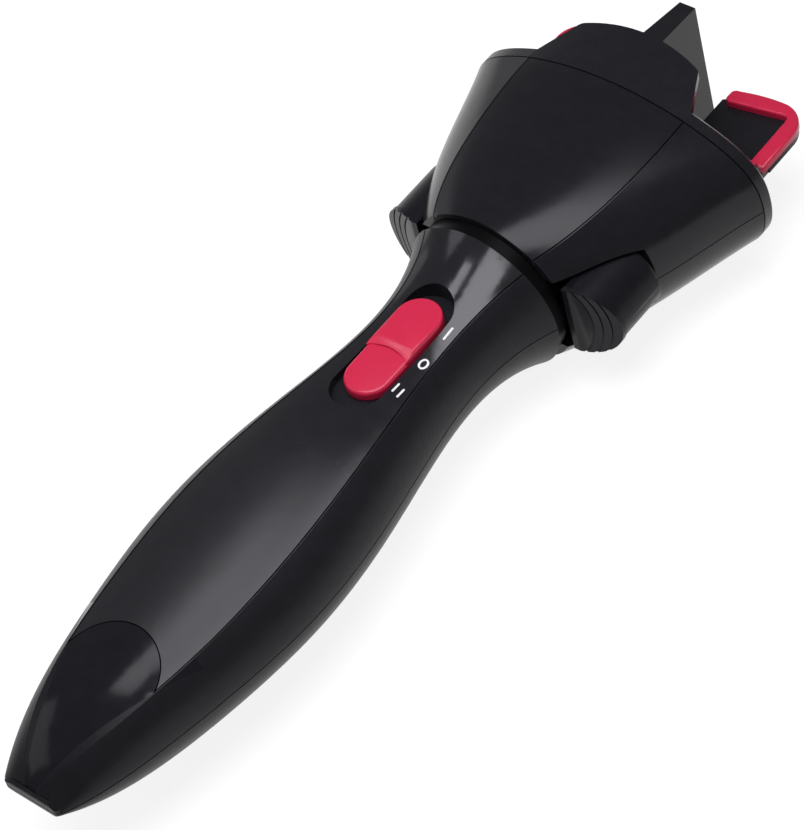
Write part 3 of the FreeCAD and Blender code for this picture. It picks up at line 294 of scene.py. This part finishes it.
def polish(tree, where, roughness_range):
    """Takes the roughness down and the grain away where a mask is 1."""
    shader = shader_of(tree)
    mix = tree.nodes.new("ShaderNodeMix")
    tree.links.new(where, mix.inputs["Factor"])
    tree.links.new(shader.inputs["Roughness"].links[0].from_socket, mix.inputs["A"])
    tree.links.new(noise_between(tree, polish_noise_scale, *roughness_range), mix.inputs["B"])
    tree.links.new(mix.outputs["Result"], shader.inputs["Roughness"])
    bump = shader.inputs["Normal"].links[0].from_node
    tree.links.new(math_node(tree, "SUBTRACT", 1.0, where), bump.inputs["Strength"])


def polish_half_width(tree, station):
    """Half the width of the polished strip at a station: a curve that widens from the tail."""
    reach_y, reach_x = polish_reach
    node = tree.nodes.new("ShaderNodeFloatCurve")
    curve = node.mapping.curves[0]
    curve.points[0].location = (0.0, polish_start_half_width / reach_x)
    curve.points.new(polish_bend[0] / reach_y, polish_bend[1] / reach_x)
    node.mapping.update()
    tree.links.new(math_node(tree, "MULTIPLY", station, 1.0 / reach_y), node.inputs["Value"])
    return math_node(tree, "MULTIPLY", node.outputs["Value"], reach_x)


def handle_shell_material():
    """Fine spark texture all over, apart from a polished strip on top of the tail dome."""
    material = plastic("shell_with_polished_tail", black, 0.38, grain_scale=1500.0, grain_mm=0.012,
                       shine=0.2)
    tree = material.node_tree
    place = place_outputs(tree)
    station = station_value(tree, place)
    across = math_node(tree, "ABSOLUTE", place["X"], 0.0)
    across = math_node(tree, "MULTIPLY", across, 1.0 / MM)
    inside = math_node(tree, "LESS_THAN", across, polish_half_width(tree, station))
    upper = math_node(tree, "GREATER_THAN", place["Z"], (upper_shell_low_z + polish_above_edge) * MM)
    behind = math_node(tree, "LESS_THAN", station, dome_front + dome_polish_margin)
    where = math_node(tree, "MULTIPLY", inside, upper)
    polish(tree, math_node(tree, "MULTIPLY", where, behind), dome_polish)
    return material


def handle_panel_material():
    """Satin where the palm lies, running into a polished neck round the switch."""
    material = plastic("panel_satin_to_polished", (0.0105, 0.010, 0.0125), 0.33, grain_scale=1800.0,
                       grain_mm=0.006)
    tree = material.node_tree
    station = station_value(tree, place_outputs(tree))
    polish(tree, smooth_ramp(tree, station, neck_polish_start, neck_polish_end), neck_polish)
    return material


def make_materials():
    """Every material of the tool, by the name of its finish."""
    return {
        "shell": handle_shell_material(),
        "panel": handle_panel_material(),
        "head": plastic("head_semi_gloss", black, 0.20, grain_scale=2200.0, grain_mm=0.003, shine=0.25),
        "trim": plastic("trim_semi_gloss", (0.0115, 0.011, 0.0135), 0.27, grain_scale=2200.0,
                        shine=0.22),
        # The neck ring is black plastic, painted far darker than the other blacks: painted shade of the
        # dark gap line between handle and head.
        "neck": plastic("neck_black", (0.0020, 0.0019, 0.0022), 0.35, grain_scale=2600.0,
                        grain_mm=0.002, shine=0.1),
        "lever": plastic("lever_satin", black, 0.30, grain_scale=1800.0, grain_mm=0.006, shine=0.12),
        "red": plastic("accent_red", (0.54, 0.015, 0.056), 0.30, grain_scale=2200.0, grain_mm=0.002,
                       shade=0.97),
        "inner": plastic("inner_black", (0.02, 0.02, 0.021), 0.45),
        "acetal": plastic("acetal_white", (0.78, 0.77, 0.73), 0.40),
        "board": plastic("circuit_board", (0.02, 0.14, 0.06), 0.30),
        "jacket": plastic("cell_jacket", (0.05, 0.055, 0.065), 0.25),
        "steel": metal("ground_steel", (0.58, 0.58, 0.59), 0.28),
        "nickel": metal("nickel_plate", (0.72, 0.70, 0.66), 0.18),
        "bronze": metal("sintered_bronze", (0.60, 0.42, 0.22), 0.40),
        "screws": metal("black_zinc", (0.12, 0.12, 0.125), 0.35),
        "print": plastic("printed_white", (0.82, 0.82, 0.82), 0.45),
    }


FINISHES = {
    "shell": ["handle_upper_shell", "handle_lower_shell", "battery_door"],
    "panel": ["handle_top_panel"],
    "head": ["head_upper_shell", "head_lower_shell", "head_top_panel", "head_bottom_panel"],
    "trim": ["front_cap", "hook_rotor_left", "hook_rotor_right"],
    "neck": ["neck_bearing"],
    "lever": ["side_lever_left", "side_lever_right"],
    "red": ["switch_button", "hook_jaw_left", "hook_jaw_right"],
    "inner": ["battery_tray", "switch_slider", "head_hub", "gear_plate"],
    "acetal": ["gearbox_bracket", "gearbox_cover", "ring_gear", "planet_carrier", "sun_gear",
               "planet_gear_1", "planet_gear_2", "planet_gear_3", "hook_gear_left", "hook_gear_right"],
    "board": ["switch_board"],
    "jacket": ["battery_left", "battery_right"],
    "steel": ["motor", "motor_shaft", "drive_shaft", "neck_clutch_bearing", "shaft_clutch_bearing",
              "jaw_pin_left", "jaw_pin_right", "lever_pin_left", "lever_pin_right", "push_rod_left",
              "push_rod_right", "lever_spring_left", "lever_spring_right"],
    "nickel": ["tail_contact", "positive_contact", "negative_contact"],
    "bronze": ["motor_pinion", "rear_bush", "neck_bush"],
    "screws": ["handle_screws", "head_screws", "motor_screws", "gear_plate_screws"],
}


def dress_nodes(materials):
    """Gives each CAD node the material of its finish."""
    for finish, names in FINISHES.items():
        for name in names:
            mesh = nodes[name].data
            mesh.materials.clear()
            mesh.materials.append(materials[finish])


# ================================================================ outlines

def arc(centre, radii, start, turn, count):
    """Points along an ellipse from an angle through a turn, one more than the count of steps."""
    angles = [start + turn * step / count for step in range(count + 1)]
    return [(centre[0] + radii[0] * math.cos(a), centre[1] + radii[1] * math.sin(a)) for a in angles]


def oval(place, length, width, count=40):
    """A closed ellipse with its length along the tool."""
    return arc(place, (width / 2.0, length / 2.0), 0.0, 2.0 * math.pi, count)[:-1]


def stadium(place, length, width, end_count=16):
    """A bar along the tool with round ends."""
    radius = width / 2.0
    straight = length / 2.0 - radius
    front = arc((place[0], place[1] + straight), (radius, radius), 0.0, math.pi, end_count)
    rear = arc((place[0], place[1] - straight), (radius, radius), math.pi, math.pi, end_count)
    return front + rear


def rectangle(left, right, rear, front):
    """A rectangle from its two sides and its two ends."""
    return [(left, rear), (right, rear), (right, front), (left, front)]


def arc_through(first, middle, last, count=12):
    """Points on the circle through three places, from the first to the last."""
    (ax, ay), (bx, by), (cx, cy) = first, middle, last
    divisor = 2.0 * (ax * (by - cy) + bx * (cy - ay) + cx * (ay - by))
    a_square, b_square, c_square = ax * ax + ay * ay, bx * bx + by * by, cx * cx + cy * cy
    centre_x = (a_square * (by - cy) + b_square * (cy - ay) + c_square * (ay - by)) / divisor
    centre_y = (a_square * (cx - bx) + b_square * (ax - cx) + c_square * (bx - ax)) / divisor
    radius = math.hypot(ax - centre_x, ay - centre_y)
    whole_turn = 2.0 * math.pi
    start = math.atan2(ay - centre_y, ax - centre_x)
    turn_to_last = (math.atan2(cy - centre_y, cx - centre_x) - start) % whole_turn
    turn_to_middle = (math.atan2(by - centre_y, bx - centre_x) - start) % whole_turn
    if turn_to_middle > turn_to_last:
        turn_to_last -= whole_turn
    return arc((centre_x, centre_y), (radius, radius), start, turn_to_last, count)


def corner_arc(before, corner, after, radius, count=6):
    """Points that round a corner with a radius."""
    corner = Vector(corner)
    to_before = (Vector(before) - corner).normalized()
    to_after = (Vector(after) - corner).normalized()
    half = to_before.angle(to_after) / 2.0
    start = corner + to_before * radius / math.tan(half)
    end = corner + to_after * radius / math.tan(half)
    centre = corner + (to_before + to_after).normalized() * radius / math.sin(half)
    middle = centre + (corner - centre).normalized() * radius
    return arc_through(tuple(start), tuple(middle), tuple(end), count)


def mirrored(outline, side):
    """A right-hand outline on its side of the tool: 1 is right and -1 is left."""
    return [(side * x, along) for x, along in outline]


# ================================================================ meshes and pieces

def at_place(x, y, z):
    """A place of the tool, in millimetres from the tail and the split plane, in the frame."""
    return Vector((x * MM, (tail_y + y) * MM, (split_z + z) * MM))


def mesh_data(mesh, name):
    """The finished form of a mesh under work."""
    data = bpy.data.meshes.new(name)
    mesh.to_mesh(data)
    mesh.free()
    return data


def join_rings(mesh, near, far):
    """Faces all round between two rings of as many corners."""
    for index in range(len(near)):
        after = (index + 1) % len(near)
        mesh.faces.new((near[index], near[after], far[after], far[index]))


def closed_block(near_places, far_places, edge=0.0):
    """A closed block between two rings, with the edge round the far end rounded."""
    mesh = bmesh.new()
    near = [mesh.verts.new(place) for place in near_places]
    far = [mesh.verts.new(place) for place in far_places]
    mesh.faces.new(list(reversed(near)))
    far_end = mesh.faces.new(far)
    join_rings(mesh, near, far)
    bmesh.ops.recalc_face_normals(mesh, faces=mesh.faces)
    if edge:
        bmesh.ops.bevel(mesh, geom=list(far_end.edges), offset=edge * MM, segments=4, profile=0.5,
                        affect="EDGES", clamp_overlap=True)
    return mesh_data(mesh, "block")


def plan_block(outline, low, high, edge=0.0):
    """A block over an outline seen from above, as (x, y), with its top edge rounded."""
    return closed_block([at_place(x, y, low) for x, y in outline],
                        [at_place(x, y, high) for x, y in outline], edge)


def side_block(outline, left, right):
    """A block over an outline seen from the side, as (y, z)."""
    return closed_block([at_place(left, y, z) for y, z in outline],
                        [at_place(right, y, z) for y, z in outline])


def bar_block(outline, start, end):
    """A block over an outline seen from the tail, as (x, z)."""
    return closed_block([at_place(x, start, z) for x, z in outline],
                        [at_place(x, end, z) for x, z in outline])


def node_copy(name):
    """A CAD node's mesh with its shared edges joined up."""
    mesh = bmesh.new()
    mesh.from_mesh(nodes[name].data)
    bmesh.ops.remove_doubles(mesh, verts=mesh.verts, dist=1e-6)
    return mesh_data(mesh, "copy")


def new_object(name, data):
    """An object in the scene."""
    holder = bpy.data.objects.new(name, data)
    bpy.context.scene.collection.objects.link(holder)
    return holder


def worked(base, steps):
    """The mesh that a run of boolean steps leaves of a base mesh."""
    holder = new_object("work", base)
    helpers = [holder]
    for operation, mesh in steps:
        helper = new_object("helper", mesh)
        helpers.append(helper)
        step = holder.modifiers.new("step", "BOOLEAN")
        step.operation = operation
        step.solver = "EXACT"
        step.object = helper
    graph = bpy.context.evaluated_depsgraph_get()
    result = bpy.data.meshes.new_from_object(holder.evaluated_get(graph))
    for helper in helpers:
        bpy.data.objects.remove(helper)
    return result


def add_piece(name, data, material, body, replaced=()):
    """Shows a mesh as a piece on a CAD body."""
    data.name = name
    data.materials.clear()
    data.materials.append(material)
    for face in data.polygons:
        face.material_index = 0
    piece = new_object(name, data)
    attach(piece, body)
    if replaced:
        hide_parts(*replaced)


def smoothed(data):
    """Smooth shading that stops at the sharp edges."""
    data.shade_smooth()
    data.set_sharp_from_angle(angle=sharp_edge)
    return data


# ================================================================ printed switch marks

def surface_below(name):
    """A function that gives the height of a CAD node's top surface at a place in the frame."""
    mesh = bmesh.new()
    mesh.from_mesh(nodes[name].data)
    tree = BVHTree.FromBMesh(mesh)
    mesh.free()
    above_all = 0.2

    def height(x, y):
        hit = tree.ray_cast(Vector((x, y, above_all)), Vector((0, 0, -1)))
        return hit[0].z
    return height


def printed_mark(name, outlines, height, material):
    """Ink on the panel: a thin skin laid on the surface below it, one loop or a ring of two."""
    mesh = bmesh.new()

    def ring(points, rise):
        loop = []
        for x, y in points:
            frame_x, frame_y = x * MM, (tail_y + y) * MM
            loop.append(mesh.verts.new((frame_x, frame_y, height(frame_x, frame_y) + rise * MM)))
        return loop

    rises = (ink_lift, ink_lift + ink_thickness)
    outer_low, outer_high = [ring(outlines[0], rise) for rise in rises]
    join_rings(mesh, outer_low, outer_high)
    if len(outlines) == 2:
        inner_low, inner_high = [ring(outlines[1], rise) for rise in rises]
        join_rings(mesh, outer_high, inner_high)
        join_rings(mesh, inner_high, inner_low)
        join_rings(mesh, inner_low, outer_low)
    else:
        mesh.faces.new(outer_high)
        mesh.faces.new(list(reversed(outer_low)))
    bmesh.ops.recalc_face_normals(mesh, faces=mesh.faces)
    add_piece(name, mesh_data(mesh, name), material, "handle")


def add_marks(material):
    """I, O and II beside the switch."""
    height = surface_below("handle_top_panel")
    both_strokes = 2.0 * stroke_width

    def bar(place, length):
        return [stadium(place, length, stroke_width, end_count=8)]

    printed_mark("mark_one", bar(mark_one_place, mark_one_length), height, material)
    off = [oval(mark_off_place, mark_off_length, mark_off_width),
           oval(mark_off_place, mark_off_length - both_strokes, mark_off_width - both_strokes)]
    printed_mark("mark_off", off, height, material)
    for letter, place in zip("ab", mark_two_places):
        printed_mark("mark_two_" + letter, bar(place, mark_two_length), height, material)


# ================================================================ pieces finished in the scene

def band_front_edge():
    """The outer side of the red band, from the shoulder round the front to the tip."""
    round_shoulder = arc_through((band_outer_x, band_shoulder_y), band_bend, band_front)
    round_front = arc_through(band_front, band_sag, band_tip_front)
    return round_shoulder + round_front[1:]


def plate_outline():
    """The flat plate between the disc and the band, just inside the band's outer side."""
    inset = [(x - plate_inset, y - plate_inset) for x, y in band_front_edge()]
    return [(plate_inner_x, plate_root_y), (plate_outer_x, plate_root_y), *inset,
            (plate_inner_x, plate_inner_front_y)]


def band_outline():
    """The red band: an arm along the outside, a round shoulder and a bar across the front."""
    tip_front = (band_tip_x, band_tip_front_y)
    tip_rear = (band_tip_x, band_tip_rear_y)
    inner_corner = (band_inner_x, band_inner_corner_y)
    root = (band_inner_x, band_root_y)
    return [root, (band_outer_x, band_root_y), *band_front_edge(),
            *corner_arc(band_tip_front, tip_front, tip_rear, band_tip_front_radius),
            *corner_arc(tip_front, tip_rear, inner_corner, band_tip_rear_radius),
            *corner_arc(tip_rear, inner_corner, root, band_inner_radius)]


def add_hook(name, side, materials):
    """The flat plate and the red band of one hook, on the CAD's own disc, ears, barrel and heel."""

    def block(outline, low, high, edge=0.0):
        return plan_block(mirrored(outline, side), low, high, edge)

    kept_rotor = rectangle(0.0, hook_space_x, hook_space_start_y, rotor_kept_to_y)
    thinned = rectangle(plate_thinned_from[0], hook_space_x, plate_thinned_from[1], plate_thinned_to_y)
    rotor = worked(node_copy("hook_rotor_" + name),
                   [("INTERSECT", block(kept_rotor, -beyond_z, beyond_z)),
                    ("DIFFERENCE", block(thinned, plate_thinned_low, plate_low)),
                    ("UNION", block(plate_outline(), plate_low, plate_top))])
    add_piece("hook_plate_" + name, smoothed(rotor), materials["trim"], "hook_" + name,
              ["hook_rotor_" + name])
    kept_jaw = rectangle(0.0, hook_space_x, hook_space_start_y, jaw_kept_to_y)
    jaw = worked(node_copy("hook_jaw_" + name),
                 [("INTERSECT", block(kept_jaw, -beyond_z, beyond_z)),
                  ("UNION", block(band_outline(), band_low, band_top, band_edge))])
    add_piece("hook_band_" + name, smoothed(jaw), materials["red"], "jaw_" + name,
              ["hook_jaw_" + name])


def add_switch_knob(material):
    """The low button: a crest across it, a curved step down to its flat rear, and a stem below."""
    outline = stadium((0.0, button_y), button_length, button_width)
    crest_y = button_y + crest_ahead
    front_y, rear_y = crest_y + slope_run, crest_y - slope_run
    above_slopes = [(crest_y, button_top), (front_y, button_top - front_fall), (front_y, beyond_z),
                    (rear_y, beyond_z), (rear_y, button_top - rear_fall)]
    step = oval((0.0, step_y), 2.0 * step_radius, 2.0 * step_radius, count=96)
    stem = rectangle(-stem_half_width, stem_half_width,
                     button_y - stem_half_length, button_y + stem_half_length)
    knob = worked(plan_block(outline, button_low, button_top, button_edge),
                  [("DIFFERENCE", side_block(above_slopes, -button_width, button_width)),
                   ("DIFFERENCE", plan_block(step, 0.0, beyond_z)),
                   ("UNION", plan_block(outline, button_low, button_top - step_drop, button_edge)),
                   ("UNION", plan_block(stem, slider_top, button_low + stem_overlap))])
    add_piece("switch_knob", smoothed(knob), material, "switch", ["switch_button"])


def add_slot_floor(material):
    """The closed floor of the switch's slot, open where the stem travels."""
    outline = stadium((0.0, slot_y), slot_length, slot_width)
    way = rectangle(-stem_way_half_width, stem_way_half_width, stem_way_start, stem_way_end)
    land = worked(plan_block(outline, slot_floor_low, slot_floor_top),
                  [("DIFFERENCE", plan_block(way, 0.0, beyond_z))])
    add_piece("switch_slot_floor", smoothed(land), material, "handle")


def pad_layer(side, near, far):
    """All the space of one side between two distances from the face of its thumb pad."""

    def line(offset):
        rear_y = pad_face_y + offset
        return [(pad_inner_x, rear_y), (pad_bend_x, rear_y),
                (pad_space_x, rear_y + pad_slope * (pad_space_x - pad_bend_x))]

    return plan_block(mirrored(line(near) + line(far)[::-1], side), -beyond_z, beyond_z)


def pad_cut(outline, side, near, far):
    """What a bar over an outline seen from the tail holds between two distances from the pad's face."""
    bar = bar_block(mirrored(outline, side), pad_space_start, pad_space_end)
    return worked(bar, [("INTERSECT", pad_layer(side, near, far))])


def pad_outline():
    """The flared pad seen from the tail: half an oval, closed by a straight inner side."""
    half_oval = arc((pad_centre_x, 0.0), (pad_half_width, pad_half_height), -math.pi / 2.0, math.pi,
                    count=32)
    return [*half_oval, (pad_inner_x, pad_half_height), (pad_inner_x, -pad_half_height)]


def groove_outline(inset):
    """One groove seen from the tail: a narrow arc, set in from the pad's outer edge."""
    centre = (pad_centre_x + pad_half_width - inset - groove_radius, 0.0)
    outer, inner = groove_radius + groove_width / 2.0, groove_radius - groove_width / 2.0
    outer_side, inner_side = [arc(centre, (radius, radius), -groove_half_turn, 2.0 * groove_half_turn,
                                  count=24) for radius in (outer, inner)]
    return outer_side + inner_side[::-1]


def add_lever(name, side, material):
    """The CAD lever with a flared thumb pad, grooved by arcs along its outer edge."""
    steps = [("UNION", pad_cut(pad_outline(), side, pad_behind, pad_ahead))]
    for inset in groove_insets:
        steps.append(("DIFFERENCE", pad_cut(groove_outline(inset), side, groove_behind, groove_floor)))
    lever = worked(node_copy("side_lever_" + name), steps)
    add_piece("lever_pad_" + name, smoothed(lever), material, "lever_" + name,
              ["side_lever_" + name])


# ================================================================ studio

def add_camera():
    """A camera that looks from its place to its target, turned about that line by its roll."""
    camera = bpy.data.cameras.new("camera")
    camera.sensor_fit = "VERTICAL"
    camera.sensor_height = sensor_height
    camera.lens = camera_lens
    camera.clip_start = nearest_seen
    camera.clip_end = furthest_seen
    forward = (Vector(camera_target) - Vector(camera_place)).normalized()
    right = forward.cross(Vector((0, 0, 1))).normalized()
    up = right.cross(forward)
    level = Matrix((right, up, -forward)).transposed()
    roll = Matrix.Rotation(math.radians(camera_roll), 3, "Z")
    holder = new_object("camera", camera)
    holder.matrix_world = Matrix.Translation(Vector(camera_place)) @ (level @ roll).to_4x4()
    bpy.context.scene.camera = holder


def add_softbox(name, place, target, size, power, seen_in_gloss=True):
    """An area lamp aimed at a target; one that isn't seen in gloss gives light and no highlight."""
    light = bpy.data.lights.new(name, "AREA")
    light.shape = "RECTANGLE"
    light.size, light.size_y = size
    light.energy = power
    light.color = lamp_colour
    holder = new_object(name, light)
    holder.visible_glossy = seen_in_gloss
    aim = (Vector(target) - Vector(place)).normalized()
    turn = aim.to_track_quat("-Z", "Y").to_matrix().to_4x4()
    holder.matrix_world = Matrix.Translation(Vector(place)) @ turn


def add_lights():
    """A broad key, a box over the head, one over the palm, a low strip and a raised one on the left."""
    middle = (0.0, 0.0, 0.02)
    add_softbox("key", place=(-0.15, -0.2, 1.3), target=middle, size=(0.9, 0.9), power=7.0,
                seen_in_gloss=False)
    add_softbox("head_box", place=(0.0775, 0.01, 0.35), target=(0.0775, 0.01, 0.0),
                size=(0.165, 0.32), power=0.82)
    add_softbox("palm_box", place=(-0.085, 0.0, 0.35), target=(-0.085, 0.0, 0.0),
                size=(0.07, 0.14), power=0.15)
    add_softbox("left_strip", place=(-0.90, 0.40, 0.20), target=middle, size=(0.7, 0.20), power=0.2)
    add_softbox("side_strip", place=(-0.66, -0.42, 0.60), target=middle, size=(0.60, 0.30), power=0.62)


def floor_material():
    """White to the camera and in reflections, and lit as any surface elsewhere, so shadows show."""
    material = new_material("floor_white")
    tree = material.node_tree
    shader = shader_of(tree)
    shader.inputs["Base Color"].default_value = floor_colour
    shader.inputs["Roughness"].default_value = floor_roughness
    shader.inputs["Specular IOR Level"].default_value = 0.0
    glow = tree.nodes.new("ShaderNodeEmission")
    glow.inputs["Strength"].default_value = floor_glow
    rays = tree.nodes.new("ShaderNodeLightPath").outputs
    seen = math_node(tree, "MAXIMUM", rays["Is Camera Ray"], rays["Is Glossy Ray"])
    seen = math_node(tree, "MAXIMUM", seen, rays["Is Transmission Ray"])
    mix = tree.nodes.new("ShaderNodeMixShader")
    tree.links.new(math_node(tree, "MULTIPLY", seen, floor_glow_share), mix.inputs["Fac"])
    tree.links.new(shader.outputs["BSDF"], mix.inputs[1])
    tree.links.new(glow.outputs["Emission"], mix.inputs[2])
    tree.links.new(mix.outputs["Shader"], tree.nodes["Material Output"].inputs["Surface"])
    return material


def add_floor():
    """A wide flat floor just under the tool."""
    mesh = bpy.data.meshes.new("floor")
    corners = [(x, y, 0) for x, y in rectangle(-floor_reach, floor_reach, -floor_reach, floor_reach)]
    mesh.from_pydata(corners, [], [(0, 1, 2, 3)])
    mesh.materials.append(floor_material())
    floor = new_object("floor", mesh)
    floor.location.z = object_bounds()[0][2] - floor_drop


def add_world():
    """A dim, even room."""
    world = bpy.data.worlds.new("studio")
    world.use_nodes = True
    bpy.context.scene.world = world
    background = world.node_tree.nodes["Background"]
    background.inputs["Color"].default_value = room_colour
    background.inputs["Strength"].default_value = room_light


def main():
    """The dressed tool in its studio."""
    bpy.context.scene.view_settings.view_transform = "Standard"
    materials = make_materials()
    dress_nodes(materials)
    add_marks(materials["print"])
    for name, side in SIDES.items():
        add_hook(name, side, materials)
        add_lever(name, side, materials["lever"])
    add_switch_knob(materials["red"])
    add_slot_floor(materials["trim"])
    add_camera()
    add_floor()
    add_world()
    add_lights()


main()
